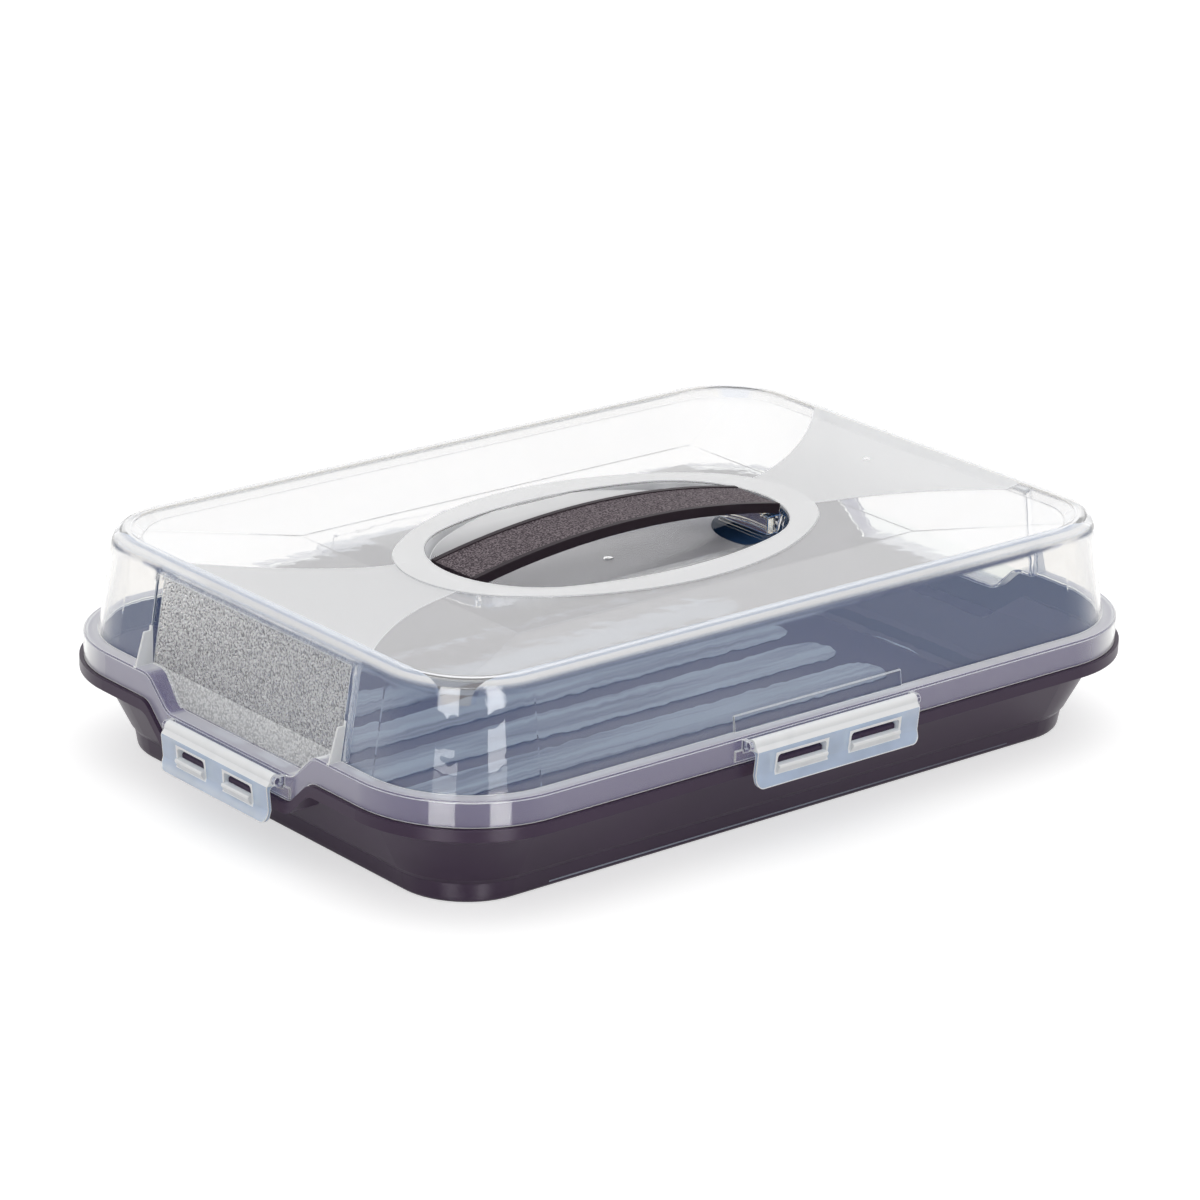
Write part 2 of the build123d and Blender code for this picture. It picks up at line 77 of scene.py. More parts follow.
# Parts of the hood's face. Half sizes are from the middle, along x and y, and heights are above the floor
TOP_Z = 98.5 * MM                             # the dished top and the crest around it are above
DISH_HALF = Vector((200.4, 135.4)) * MM       # inside the crest
RING_HALF = Vector((117.5, 77.5)) * MM        # the raised ring around the well
RING_Z = 101.4 * MM
WELL_HALF = Vector((98.8, 60.3)) * MM
WELL_Z = (86.0 * MM, 100.8 * MM)
WELL_WHITE_Z = (92.0 * MM, 98.5 * MM)         # the well's walls whiten between these
SCOOP_PLACE = (98.5 * MM, -13.5 * MM, 0.0)    # polished scoop for the fingers, at both ends of the well
SCOOP_RADIUS = 34.0 * MM
FIELD_START = 4.0 * MM                        # how far inside its neck a frosted field begins
FIELD_END_X = 198.5 * MM
FIELD_SOFT = 0.1 * MM                         # half width of the change from frosted to clear
PANEL_X = -197.0 * MM                         # pebbled panel of the left end
PANEL_Z = (45.2 * MM, 102.5 * MM)
PANEL_FOOT = 222.2 * MM                       # the panel's wall would meet the floor at this |x|
PANEL_LEAN = 0.15                             # and comes in by this share of its height
GUSSET_X = 212.5 * MM                         # small upright gussets beside the panel
GUSSET_Y = (73.6 * MM, 75.7 * MM)
GUSSET_Z = (58.5 * MM, 77.5 * MM)
SKIRT_Z = 59.2 * MM                           # the skirt with its ledge is below

# Windows and shoulders of the clips, as they are on the front clip
END_CLIP_X = 205.0 * MM                       # clips further out than this are those of the two ends
WINDOW_MIDDLE = 22.6 * MM
WINDOW_HALF = 14.9 * MM
END_WINDOW_LESS = 4.5 * MM                    # less for both of them on the clips of the two ends
WINDOW_Z = 45.6 * MM
WINDOW_HALF_HEIGHT = 4.2 * MM
SHOULDER_Z = 53.2 * MM

# Tops of the flutes of the tray's floor
FLUTE_Z = (2.6 * MM, 3.4 * MM)
FLUTE_REACH = 195.0 * MM
REFLECTION_STREAK_STRETCH = 0.045                          # how much slower the painted streaks of reflection change along a flute

# Moulding marks: rings of a mark from its middle outwards, as shares of its radius and of its height
MARK_RINGS = ((0.0, 0.35), (0.35, 0.45), (0.6, 0.95), (0.8, 1.0), (1.0, 0.2), (1.02, -0.4))
MARK_STEPS = 24

# Step around the frosted fields: how far it stands proud and is sunk in, its parts and where it begins
STEP_PROUD = 0.22 * MM
STEP_SUNK = 0.1 * MM
STEP_PARTS = 28
STEP_START = 2.0 * MM

# Tall strip boxes that the hood's near corner mirrors: the corner they face, how far off they stand, and
# for each its turn around the corner in degrees, its width and its parts as (low, high, share of power)
STRIP_CORNER = (-0.163, -0.098)
STRIP_REACH = 0.55
STRIPS = {
    "strip_left": (-122.0, 0.21, ((0.002, 0.024, 0.25), (0.026, 0.034, 0.5), (0.053, 0.70, 0.9))),
    "strip_right": (-170.0, 0.17, ((0.002, 0.024, 0.25), (0.026, 0.045, 0.6), (0.051, 0.70, 0.9))),
}
OVERHEAD_PLACE = (0.3, 0.2, 2.4)
OVERHEAD_SIZE = (3.0, 3.0)


# ---------------------------------------------------------------- helpers

def linear(colour):
    """Linear RGBA from an sRGB hex value such as "#493C4D"."""
    parts = [int(colour[i:i + 2], 16) / 255 for i in (1, 3, 5)]
    return [c / 12.92 if c <= 0.04045 else ((c + 0.055) / 1.055) ** 2.4 for c in parts] + [1.0]


WHITE = linear("#FFFFFF")
BLACK = linear("#000000")


def add(tree, kind, inputs=None, **settings):
    """A node of that kind with its settings; each input is a value or another node's socket."""
    node = tree.nodes.new("ShaderNode" + kind)
    for name, value in settings.items():
        setattr(node, name, value)
    for key, value in (inputs or {}).items():
        if isinstance(value, bpy.types.NodeSocket):
            tree.links.new(value, node.inputs[key])
        else:
            node.inputs[key].default_value = value
    return node


def combine(tree, operation, *values):
    """All the values taken together: MULTIPLY holds where every mask does, MAXIMUM where any does."""
    total = values[0]
    for value in values[1:]:
        total = add(tree, "Math", {0: total, 1: value}, operation=operation).outputs[0]
    return total


def plus(tree, value, *steps, clamp=False):
    """The value with steps added to it; a step is (mask, amount) and adds their product."""
    for mask, amount in steps:
        value = add(tree, "Math", {0: mask, 1: amount, 2: value}, operation="MULTIPLY_ADD",
                    use_clamp=clamp).outputs[0]
    return value


def region(tree, *spans):
    """1 where every value is within its span; a span is (value, low, high), and None is an open end."""
    tests = [add(tree, "Math", {0: value, 1: limit}, operation=operation).outputs[0]
             for value, low, high in spans
             for limit, operation in ((low, "GREATER_THAN"), (high, "LESS_THAN")) if limit is not None]
    return combine(tree, "MULTIPLY", *tests)


def places(tree):
    """The place on the piece as one vector, as axes by name, and as |x| and |y|."""
    place = add(tree, "TexCoord").outputs["Object"]
    axes = add(tree, "SeparateXYZ", {0: place}).outputs
    x, y = (add(tree, "Math", {0: axes[name]}, operation="ABSOLUTE").outputs[0] for name in "XY")
    return place, axes, x, y


def entering_face(tree):
    """1 on the face by which light enters a wall, 0 where it leaves."""
    return plus(tree, 1.0, (add(tree, "NewGeometry").outputs["Backfacing"], -1.0))


def new_material(name):
    """An empty node material and its tree."""
    material = bpy.data.materials.new(name)
    material.use_nodes = True
    material.node_tree.nodes.clear()
    return material, material.node_tree


def dress(node, material):
    """Gives a CAD node its material on every slot."""
    for slot in frame["nodes"][node].material_slots:
        slot.material = material


def mesh_object(name, bm, material, body):
    """A piece made here: shaded smooth, riding on a body, with its material in a slot."""
    mesh = bpy.data.meshes.new(name)
    bm.to_mesh(mesh)
    bm.free()
    mesh.shade_smooth()
    mesh.materials.append(material)
    piece = bpy.data.objects.new(name, mesh)
    bpy.context.scene.collection.objects.link(piece)
    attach(piece, body)


def on_hood(x, y, start_z):
    """Point and normal of the hood's first face under that height."""
    start = Vector((x, y, start_z))
    hit, place, normal, _ = frame["nodes"]["hood"].ray_cast(start, Vector((0, 0, -1)))
    if not hit:
        raise RuntimeError(f"the hood has no face under {x:.3f}, {y:.3f}, {start_z:.3f}")
    return place, normal


# ---------------------------------------------------------------- settings

class StageSettings(bpy.types.PropertyGroup):
    lens: bpy.props.FloatProperty(
        name="Lens", description="Focal length of the camera on a 36 mm sensor", default=141.11,
        unit="CAMERA")
    distance: bpy.props.FloatProperty(
        name="Camera distance", description="From the camera to the middle of the carrier", default=2.2586,
        unit="LENGTH")
    azimuth: bpy.props.FloatProperty(
        name="Azimuth", description="Turn of the camera around the carrier", default=math.radians(-40.41),
        subtype="ANGLE")
    elevation: bpy.props.FloatProperty(
        name="Elevation", description="Height of the camera as an angle", default=math.radians(19.79),
        subtype="ANGLE")
    roll: bpy.props.FloatProperty(
        name="Roll", description="Turn of the camera about its own view", default=math.radians(1.70),
        subtype="ANGLE")
    target: bpy.props.FloatVectorProperty(
        name="Target", description="Point the camera looks at", default=(-0.00115, 0.00392, 0.0663),
        subtype="TRANSLATION")
    floor_size: bpy.props.FloatProperty(
        name="Floor size", description="Side of the square floor", default=14.0, unit="LENGTH")
    floor_colour: bpy.props.FloatVectorProperty(
        name="Floor", description="Colour of the painted floor", default=linear("#DADADA"), subtype="COLOR",
        size=4)
    floor_lift: bpy.props.FloatProperty(
        name="Floor lift", description="How far the floor is brought up to white where it's seen",
        default=0.56)
    sky_light: bpy.props.FloatProperty(
        name="Room light", description="Strength of the even light of the room", default=0.80)
    front_shade: bpy.props.FloatProperty(
        name="Dark side", description="Brightness of the room behind the camera in reflections",
        default=0.30)
    top_power: bpy.props.FloatProperty(
        name="Overhead box", description="Power of the overhead softbox", default=12.0, unit="POWER")
    strip_power: bpy.props.FloatProperty(
        name="Strip boxes", description="Power of a tall strip softbox, per metre", default=6.5,
        unit="POWER")


class HoodSettings(bpy.types.PropertyGroup):
    haze_colour: bpy.props.FloatVectorProperty(
        name="Haze", description="Colour of the light the plastic scatters", default=linear("#68A2EC"),
        subtype="COLOR", size=4)
    glass_colour: bpy.props.FloatVectorProperty(
        name="Glass", description="Tint of the light that comes through a wall", default=linear("#FBFCFF"),
        subtype="COLOR", size=4)
    frost_colour: bpy.props.FloatVectorProperty(
        name="Frost", description="Colour of the spark-eroded fields", default=linear("#F0F0F0"),
        subtype="COLOR", size=4)
    haze: bpy.props.FloatProperty(
        name="Haze share", description="Share of the light a clear wall scatters", default=0.20, min=0,
        max=1, subtype="FACTOR")
    frost: bpy.props.FloatProperty(
        name="Frost share", description="Share of the light a frosted field scatters", default=0.62, min=0,
        max=1, subtype="FACTOR")
    veil: bpy.props.FloatProperty(
        name="Veil", description="More scattered light where a wall is seen at a slant", default=0.30,
        min=0, max=1, subtype="FACTOR")
    skirt_colour: bpy.props.FloatVectorProperty(
        name="Skirt", description="Colour the ledge and the skirt scatter over the tray's rim",
        default=linear("#928EB4"), subtype="COLOR", size=4)
    skirt: bpy.props.FloatProperty(
        name="Skirt share", description="Share of the light the ledge and the skirt scatter", default=0.60,
        min=0, max=1, subtype="FACTOR")
    # painted highlight: share of white painted in a line along the rounded crest
    crest_highlight: bpy.props.FloatProperty(
        name="Crest light", description="Share of the light the rounded crest scatters", default=0.75,
        min=0, max=1, subtype="FACTOR")
    neck: bpy.props.FloatProperty(
        name="Frost neck", description="Half width of the frosted field where it meets the ring",
        default=0.022, unit="LENGTH")
    neck_reach: bpy.props.FloatProperty(
        name="Neck reach", description="Distance of that place from the middle", default=0.107,
        unit="LENGTH")
    spread: bpy.props.FloatProperty(
        name="Frost spread", description="How fast the frosted field widens", default=0.20)
    flare: bpy.props.FloatProperty(
        name="Frost flare", description="How much faster it widens towards the crest, per metre",
        default=4.0)
    edge_width: bpy.props.FloatProperty(
        name="Edge width", description="Width of the fine step around the frosted fields", default=0.5 * MM,
        unit="LENGTH")
    panel_half: bpy.props.FloatProperty(
        name="Panel half width", description="Half width of the pebbled panel of the left end",
        default=0.074, unit="LENGTH")
    pebble: bpy.props.FloatProperty(
        name="Pebble", description="Size of one pebble of the end panel", default=1.1 * MM, unit="LENGTH")
    stipple: bpy.props.FloatProperty(
        name="Stipple", description="Size of one grain of the frosted fields", default=0.7 * MM,
        unit="LENGTH")


class TraySettings(bpy.types.PropertyGroup):
    colour: bpy.props.FloatVectorProperty(
        name="Tray", description="Colour of the tray's plastic", default=linear("#3B2A41"), subtype="COLOR",
        size=4)
    # painted reflection: the pale colour on the flute tops stands in for what they mirror
    flute_reflection_colour: bpy.props.FloatVectorProperty(
        name="Flutes", description="Colour the spark-eroded tops of the flutes take on",
        default=linear("#A3ACBA"), subtype="COLOR", size=4)
    # painted reflection: how far the flute tops go to that painted pale colour
    matt: bpy.props.FloatProperty(
        name="Flute share", description="How far the flute tops go to that colour", default=0.88, min=0,
        max=1, subtype="FACTOR")
    # painted reflection: width of the pale painted streaks along the flutes
    drag: bpy.props.FloatProperty(
        name="Drag lines", description="Width of the drag lines along the flutes", default=5.5 * MM,
        unit="LENGTH")
    roughness: bpy.props.FloatProperty(
        name="Roughness", description="Roughness of the moulded face", default=0.29, min=0, max=1,
        subtype="FACTOR")


class HandleSettings(bpy.types.PropertyGroup):
    colour: bpy.props.FloatVectorProperty(
        name="Strap", description="Colour of the strap", default=linear("#2B2028"), subtype="COLOR", size=4)
    grain_colour: bpy.props.FloatVectorProperty(
        name="Grain", description="Colour the grained panel takes on", default=linear("#7F7479"),
        subtype="COLOR", size=4)
    border: bpy.props.FloatProperty(
        name="Border", description="Width of the smooth border of the strap", default=2.8 * MM,
        unit="LENGTH")
    grain: bpy.props.FloatProperty(
        name="Grain size", description="Size of one grain of the strap's panel", default=1.3 * MM,
        unit="LENGTH")


class ClipSettings(bpy.types.PropertyGroup):
    haze_colour: bpy.props.FloatVectorProperty(
        name="Haze", description="Colour of the light the clips scatter", default=linear("#C6DBF8"),
        subtype="COLOR", size=4)
    haze: bpy.props.FloatProperty(
        name="Haze share", description="Share of the light a clip scatters", default=0.80, min=0, max=1,
        subtype="FACTOR")
    # painted highlight: share of white painted along the edges, the shoulder and the window frames
    edge: bpy.props.FloatProperty(
        name="Edge light", description="Share of the light its edges scatter", default=1.0, min=0, max=1,
        subtype="FACTOR")
    # painted highlight: width of the white-painted frame around a window
    frame: bpy.props.FloatProperty(
        name="Window frame", description="Width of the white frame around a window", default=1.3 * MM,
        unit="LENGTH")
    end_drop: bpy.props.FloatProperty(
        name="End drop", description="How much lower the clips of the two ends sit", default=14.5 * MM,
        unit="LENGTH")
    edge_radius: bpy.props.FloatProperty(
        name="Edge radius", description="Reach of the bright line along each edge", default=1.1 * MM,
        unit="LENGTH")


class MarkSettings(bpy.types.PropertyGroup):
    gate_diameter: bpy.props.FloatProperty(
        name="Gate mark", description="Diameter of the gate mark in the well", default=5.0 * MM,
        unit="LENGTH")
    gate_height: bpy.props.FloatProperty(
        name="Gate height", description="Height of the gate mark", default=0.4 * MM, unit="LENGTH")
    pin_diameter: bpy.props.FloatProperty(
        name="Pin mark", description="Diameter of the ejector mark on the top", default=3.6 * MM,
        unit="LENGTH")
    pin_place: bpy.props.FloatVectorProperty(
        name="Pin place", description="Where the ejector mark is, seen from above", default=(0.174, 0.007),
        size=2, subtype="XYZ", unit="LENGTH")


SETTINGS = {
    "carrier_stage": StageSettings,
    "carrier_hood": HoodSettings,
    "carrier_tray": TraySettings,
    "carrier_handle": HandleSettings,
    "carrier_clips": ClipSettings,
    "carrier_marks": MarkSettings,
}


# ---------------------------------------------------------------- plastics

def bright_edges(tree, radius):
    """1 along sharp edges, 0 on flat faces, which marks where edges are painted as highlights: how far a
    rounded normal leaves the face's own.
    """
    rounded = add(tree, "Bevel", {"Radius": radius}, samples=EDGE_SAMPLES)
    face = add(tree, "NewGeometry")
    along = add(tree, "VectorMath", {0: rounded.outputs["Normal"], 1: face.outputs["True Normal"]},
                operation="DOT_PRODUCT")
    return add(tree, "MapRange", {"Value": along.outputs["Value"], "From Min": EDGE_COSINES[0],
                                  "From Max": EDGE_COSINES[1]}).outputs["Result"]


def clear_plastic(tree, colour, rough, haze_colour, share, normal, shade):
    """Glass-clear polypropylene with a little milk in it; lamps shine through, tinted by shade.

    What the milk scatters is taken out of the light that passes, so that a wall stays white over white and
    turns milky over dark. Only the face that light enters by scatters, so that a wall counts once.
    """
    milk = add(tree, "MixRGB", {0: share, 1: BLACK, 2: haze_colour})
    left = add(tree, "MixRGB", {0: 1.0, 1: WHITE, 2: milk.outputs[0]}, blend_type="SUBTRACT")
    clear = add(tree, "MixRGB", {0: 1.0, 1: colour, 2: left.outputs[0]}, blend_type="MULTIPLY")
    glass = add(tree, "BsdfPrincipled", {"Base Color": clear.outputs[0], "Transmission Weight": 1.0,
                                         "IOR": PLASTIC_IOR, "Roughness": rough, "Normal": normal})
    # what the face mirrors doesn't reach the milk
    inward = plus(tree, 1.0, (add(tree, "Fresnel", {"IOR": PLASTIC_IOR}).outputs[0], -1.0))
    reach = combine(tree, "MULTIPLY", entering_face(tree), inward)
    lit = add(tree, "MixRGB", {0: reach, 1: BLACK, 2: milk.outputs[0]})
    back = add(tree, "BsdfDiffuse", {"Color": lit.outputs[0], "Normal": normal})
    through = add(tree, "BsdfTranslucent", {"Color": lit.outputs[0], "Normal": normal})
    haze = add(tree, "MixShader", {0: MILK_THROUGH, 1: back.outputs[0], 2: through.outputs[0]})
    wall = add(tree, "AddShader", {0: glass.outputs[0], 1: haze.outputs[0]})
    passing = add(tree, "BsdfTransparent", {"Color": shade})
    ray = add(tree, "LightPath").outputs
    unseen = combine(tree, "MAXIMUM", ray["Is Shadow Ray"], ray["Is Diffuse Ray"])
    both = add(tree, "MixShader", {0: unseen, 1: wall.outputs[0], 2: passing.outputs[0]})
    add(tree, "OutputMaterial", {"Surface": both.outputs[0]})


def hood_parts(tree, settings, axes, x, y):
    """Masks of the parts of the hood's face that look different, by name."""
    z = axes["Z"]
    on = SimpleNamespace()
    top = region(tree, (z, TOP_Z, None))
    on.dish = combine(tree, "MULTIPLY", region(tree, (x, None, DISH_HALF.x), (y, None, DISH_HALF.y)), top)
    past = combine(tree, "MAXIMUM", region(tree, (x, DISH_HALF.x, None)),
                   region(tree, (y, DISH_HALF.y, None)))
    on.crest = combine(tree, "MULTIPLY", past, top)

    # frosted fields: |y| under neck + spread * d + flare * d * d, with d measured out from the neck
    d = plus(tree, -settings.neck_reach, (x, 1.0))
    limit = plus(tree, settings.neck, (plus(tree, settings.spread, (d, settings.flare)), d))
    inside = plus(tree, limit, (y, -1.0))
    field = add(tree, "MapRange", {"Value": inside, "From Min": -FIELD_SOFT, "From Max": FIELD_SOFT})
    field = combine(tree, "MULTIPLY", field.outputs["Result"], region(tree, (d, -FIELD_START, None)), top)
    field = plus(tree, field, (on.crest, -1.0), clamp=True)
    on.ring = region(tree, (x, None, RING_HALF.x), (y, None, RING_HALF.y), (z, RING_Z, None))
    on.frosted = combine(tree, "MAXIMUM", field, on.ring)

    # the wall of the pebbled panel leans, and nothing in front of it is pebbled
    lean = plus(tree, PANEL_FOOT, (z, -PANEL_LEAN))
    on.panel = region(tree, (x, None, lean), (axes["X"], None, PANEL_X), (y, None, settings.panel_half),
                      (z, *PANEL_Z))
    on.gusset = region(tree, (x, GUSSET_X, None), (y, *GUSSET_Y), (z, *GUSSET_Z))
    on.skirt = region(tree, (z, None, SKIRT_Z))

    # the well is satin apart from the polished scoops
    on.well = region(tree, (x, None, WELL_HALF.x), (y, None, WELL_HALF.y), (z, *WELL_Z))
    off = add(tree, "CombineXYZ", {"X": x, "Y": axes["Y"]}).outputs[0]
    off = add(tree, "VectorMath", {0: off, 1: SCOOP_PLACE}, operation="DISTANCE").outputs["Value"]
    on.scoop = combine(tree, "MULTIPLY", region(tree, (off, None, SCOOP_RADIUS)), on.well)
    on.bowl = combine(tree, "MULTIPLY", on.well, plus(tree, 1.0, (on.scoop, -1.0)))
    return on


def hood_relief(tree, settings, on, place, x, rounded, pebbles):
    """The hood's normal: slow waves of the flow, stipple, polished scoops and pebbles over rounded edges."""
    entering = entering_face(tree)
    normal = rounded
    for size, depth in HOOD_WAVES:
        waves = add(tree, "TexNoise", {"Vector": place, "Scale": 1 / size, "Detail": 1.0})
        normal = add(tree, "Bump", {"Height": waves.outputs["Fac"], "Strength": entering, "Distance": depth,
                                    "Normal": normal}).outputs[0]
    stipple = add(tree, "TexNoise", {"Vector": place, "Scale": 1 / settings.stipple, "Detail": 2.0})
    hollow = combine(tree, "MULTIPLY", on.scoop, entering)
    # a scoop is a plain slope: |x| is its height, and what stands for the depth is how steep it is
    for height, strength, depth in ((stipple.outputs["Fac"], on.frosted, 0.12 * MM), (x, hollow, 0.7),
                                    (pebbles, on.panel, 0.9 * MM)):
        normal = add(tree, "Bump", {"Height": height, "Strength": strength, "Distance": depth,
                                    "Normal": normal}).outputs[0]
    return normal


def hood_polypropylene(settings):
    """Clear random-copolymer polypropylene, injection moulded: glossy and glass-clear in the polished parts
    of the mould, with a faint blue milkiness against dark, and white where the mould was spark-eroded."""
    material, tree = new_material("clear_polypropylene_moulded")
    place, axes, x, y = places(tree)
    on = hood_parts(tree, settings, axes, x, y)

    # the pebbles are cells that a slower noise bends out of line
    swirl = add(tree, "TexNoise", {"Vector": place, "Scale": 0.35 / settings.pebble, "Detail": 1.0})
    bent = add(tree, "MixRGB", {0: 1.6 * MM, 1: place, 2: swirl.outputs["Color"]}, blend_type="ADD")
    pebbles = add(tree, "TexVoronoi", {"Vector": bent.outputs[0], "Scale": 1 / settings.pebble},
                  feature="SMOOTH_F1").outputs["Distance"]
    radius = plus(tree, 0.35 * MM, (on.crest, 2.6 * MM))
    rounded = add(tree, "Bevel", {"Radius": radius}, samples=ROUND_SAMPLES).outputs[0]
    normal = hood_relief(tree, settings, on, place, x, rounded, pebbles)
    rough = plus(tree, 0.0, (on.frosted, 0.40), (on.panel, 0.22), (on.bowl, 0.2))

    # a wall seen at a slant scatters more, as light has more of it to cross
    slant = add(tree, "LayerWeight", {"Blend": 0.5}).outputs["Facing"]
    slant = add(tree, "MapRange", {"Value": slant, "From Min": 0.38, "From Max": 0.78}).outputs["Result"]
    speck = add(tree, "MapRange", {"Value": pebbles, "From Min": 0.28, "From Max": 0.60,
                                   "To Min": 0.34, "To Max": -0.06}).outputs["Result"]
    # painted highlight: the rounded crest is painted white in a line, which fades towards the top
    up = add(tree, "SeparateXYZ", {0: rounded}).outputs["Z"]
    bright = add(tree, "MapRange", {"Value": up, "From Min": 0.50, "From Max": 0.68},
                 interpolation_type="SMOOTHSTEP").outputs["Result"]
    fade = add(tree, "MapRange", {"Value": up, "From Min": 0.985, "From Max": 0.90, "To Min": 0.40},
               interpolation_type="SMOOTHSTEP").outputs["Result"]
    bright = combine(tree, "MULTIPLY", bright, fade, on.crest)
    # the well's walls whiten towards the ring
    height = add(tree, "MapRange", {"Value": axes["Z"], "From Min": WELL_WHITE_Z[0],
                                    "From Max": WELL_WHITE_Z[1], "To Min": -0.06,
                                    "To Max": 0.5}).outputs["Result"]
    # painted highlight: sharp edges are painted white
    edge = bright_edges(tree, 0.8 * MM)

    # share of scattered light: that of a clear wall, then what each part adds to it, the painted highlights
    # of the edges and the crest among them
    share = plus(tree, settings.haze, (on.frosted, settings.frost - settings.haze), (on.panel, speck),
                 (slant, settings.veil))
    share = combine(tree, "MULTIPLY", share, plus(tree, 1.0, (on.scoop, -0.6)))
    share = plus(tree, share, (on.bowl, height), (on.ring, 0.3), (on.skirt, settings.skirt - settings.haze),
                 (on.gusset, 0.8), (edge, 0.6), (bright, settings.crest_highlight), clamp=True)
    # the parts that scatter white rather than blue, the painted highlights of the edges and the crest among
    # them
    white = combine(tree, "MAXIMUM", on.frosted, on.panel, edge, bright, slant, on.well, on.gusset, on.dish)
    white = combine(tree, "MULTIPLY", white, plus(tree, 1.0, (on.scoop, -1.0)))
    haze = add(tree, "MixRGB", {0: on.skirt, 1: settings.haze_colour, 2: settings.skirt_colour})
    tint = add(tree, "MixRGB", {0: white, 1: haze.outputs[0], 2: settings.frost_colour})
    clear_plastic(tree, settings.glass_colour, rough, tint.outputs[0], share, normal, linear("#F2F4F6"))
    return material


def clip_polypropylene(settings):
    """Natural homopolymer polypropylene, injection moulded: stiff, glossy and milky blue, with a painted
    highlight along the edges, where the light trapped in the plate comes out."""
    material, tree = new_material("natural_polypropylene_moulded")
    place, axes, x, y = places(tree)
    flow = add(tree, "TexNoise", {"Vector": place, "Scale": 1 / CLIP_WAVES, "Detail": 2.0})
    waves = add(tree, "Bump", {"Height": flow.outputs["Fac"], "Strength": 0.3, "Distance": 0.6 * MM})
    rounded = add(tree, "Bevel", {"Radius": 0.35 * MM, "Normal": waves.outputs[0]}, samples=ROUND_SAMPLES)

    # the shoulder over the hinge and the frames around the windows are thicker; with the edges they are
    # painted white as highlights
    end = region(tree, (x, END_CLIP_X, None))
    z = plus(tree, axes["Z"], (end, settings.end_drop))
    along = add(tree, "Mix", {0: end, 2: x, 3: y}).outputs[0]
    spans = ((along, plus(tree, WINDOW_MIDDLE, (end, -END_WINDOW_LESS)),
              plus(tree, WINDOW_HALF, (end, -END_WINDOW_LESS))),
             (z, WINDOW_Z, WINDOW_HALF_HEIGHT))
    outside = []
    for value, middle, half in spans:
        off = add(tree, "Math", {0: plus(tree, value, (middle, -1.0))}, operation="ABSOLUTE").outputs[0]
        outside.append(plus(tree, off, (half, -1.0)))
    framed = region(tree, (combine(tree, "MAXIMUM", *outside), None, settings.frame))
    edge = combine(tree, "MAXIMUM", bright_edges(tree, settings.edge_radius),
                   region(tree, (z, SHOULDER_Z, None)), framed)

    streaks = add(tree, "MapRange", {"Value": flow.outputs["Fac"], "From Min": 0.35, "From Max": 0.65,
                                     "To Min": settings.haze - 0.06, "To Max": settings.haze + 0.06})
    # the edges, the shoulder and the frames take the painted highlight's share, in white
    share = plus(tree, streaks.outputs[0], (edge, settings.edge - settings.haze), clamp=True)
    tint = add(tree, "MixRGB", {0: edge, 1: settings.haze_colour, 2: WHITE})
    clear_plastic(tree, linear("#F4F9FF"), 0.16, tint.outputs[0], share, rounded.outputs[0],
                  linear("#E4ECF4"))
    return material


def tray_polypropylene(settings):
    """Aubergine polypropylene, injection moulded in a polished mould: deep gloss with slow sink waves, and
    matt where the tops of the flutes were spark-eroded, with a painted reflection in pale streaks on them."""
    material, tree = new_material("aubergine_polypropylene_moulded")
    place, axes, _, _ = places(tree)
    sink = add(tree, "TexNoise", {"Vector": place, "Scale": 1 / TRAY_WAVES, "Detail": 1.5})
    waves = add(tree, "Bump", {"Height": sink.outputs["Fac"], "Strength": 0.2, "Distance": 1.2 * MM})
    rough, swirl = (add(tree, "MapRange", {"Value": sink.outputs["Fac"], "From Min": 0.3, "From Max": 0.7,
                                           "To Min": low, "To Max": high}).outputs["Result"]
                    for low, high in ((settings.roughness, settings.roughness + 0.06), (0.94, 1.06)))
    reach = add(tree, "VectorMath", {0: place}, operation="LENGTH").outputs["Value"]
    matt = region(tree, (axes["Z"], *FLUTE_Z), (reach, None, FLUTE_REACH))
    rough = plus(tree, rough, (matt, 0.15))
    # painted reflection: pale streaks along the flute tops stand in for what they mirror
    long = add(tree, "VectorMath", {0: place, 1: (REFLECTION_STREAK_STRETCH, 1.0, 1.0)}, operation="MULTIPLY").outputs[0]
    drag = add(tree, "TexNoise", {"Vector": long, "Scale": 1 / settings.drag, "Detail": 2.0})
    drag = add(tree, "MapRange", {"Value": drag.outputs["Fac"], "From Min": 0.34, "From Max": 0.62,
                                  "To Min": 0.42, "To Max": 1.0}).outputs["Result"]
    # painted reflection: the flute tops turn pale in streaks
    pale = combine(tree, "MULTIPLY", matt, drag, settings.matt)
    base = add(tree, "MixRGB", {0: pale, 1: settings.colour, 2: settings.flute_reflection_colour})
    colour = add(tree, "HueSaturation", {"Color": base.outputs[0], "Value": swirl})
    rounded = add(tree, "Bevel", {"Radius": 0.4 * MM, "Normal": waves.outputs[0]}, samples=ROUND_SAMPLES)
    plastic = add(tree, "BsdfPrincipled", {"Base Color": colour.outputs[0], "Roughness": rough,
                                           "IOR": PLASTIC_IOR, "Specular IOR Level": 0.26,
                                           "Normal": rounded.outputs[0]})
    add(tree, "OutputMaterial", {"Surface": plastic.outputs[0]})
    return material


